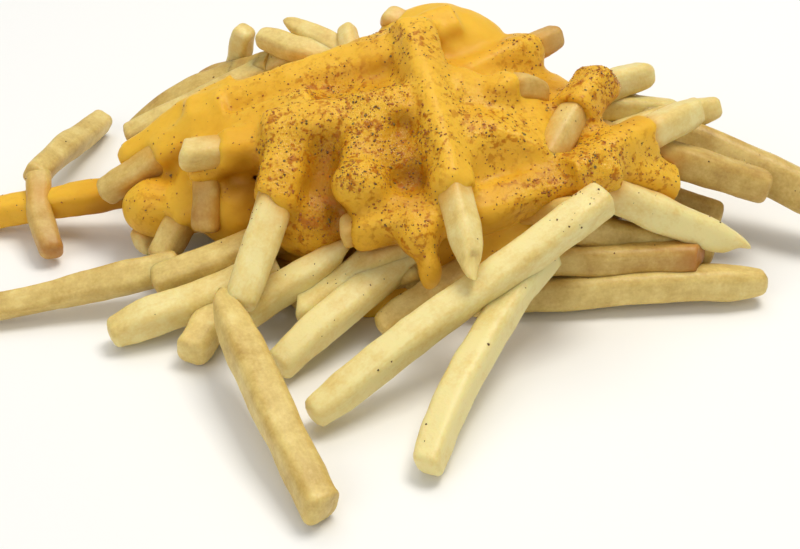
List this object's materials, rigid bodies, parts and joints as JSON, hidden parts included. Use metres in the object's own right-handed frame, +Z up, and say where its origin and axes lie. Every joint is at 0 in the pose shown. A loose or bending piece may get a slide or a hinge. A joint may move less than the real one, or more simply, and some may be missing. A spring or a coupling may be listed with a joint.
{
  "type": "cheese fries",
  "caption": "Loose heap of straight-cut fried potato sticks under a poured, seasoned cheese sauce.",
  "frame": {"origin": "on the resting plane, under the middle of the heap's box", "axes": "+X to the right of the heap seen from the front, +Y to its back, +Z up"},
  "size_m": [0.2329, 0.1908, 0.0614],
  "materials": {
    "fried_potato": "dry fried crust, pale gold, with a faint sheen of oil",
    "cheese_sauce": "smooth thick sauce, wet gloss"
  },
  "bodies": {
    "root": {"fries": "fried_potato", "cheese_sauce": "cheese_sauce"}
  },
  "joints": []
}
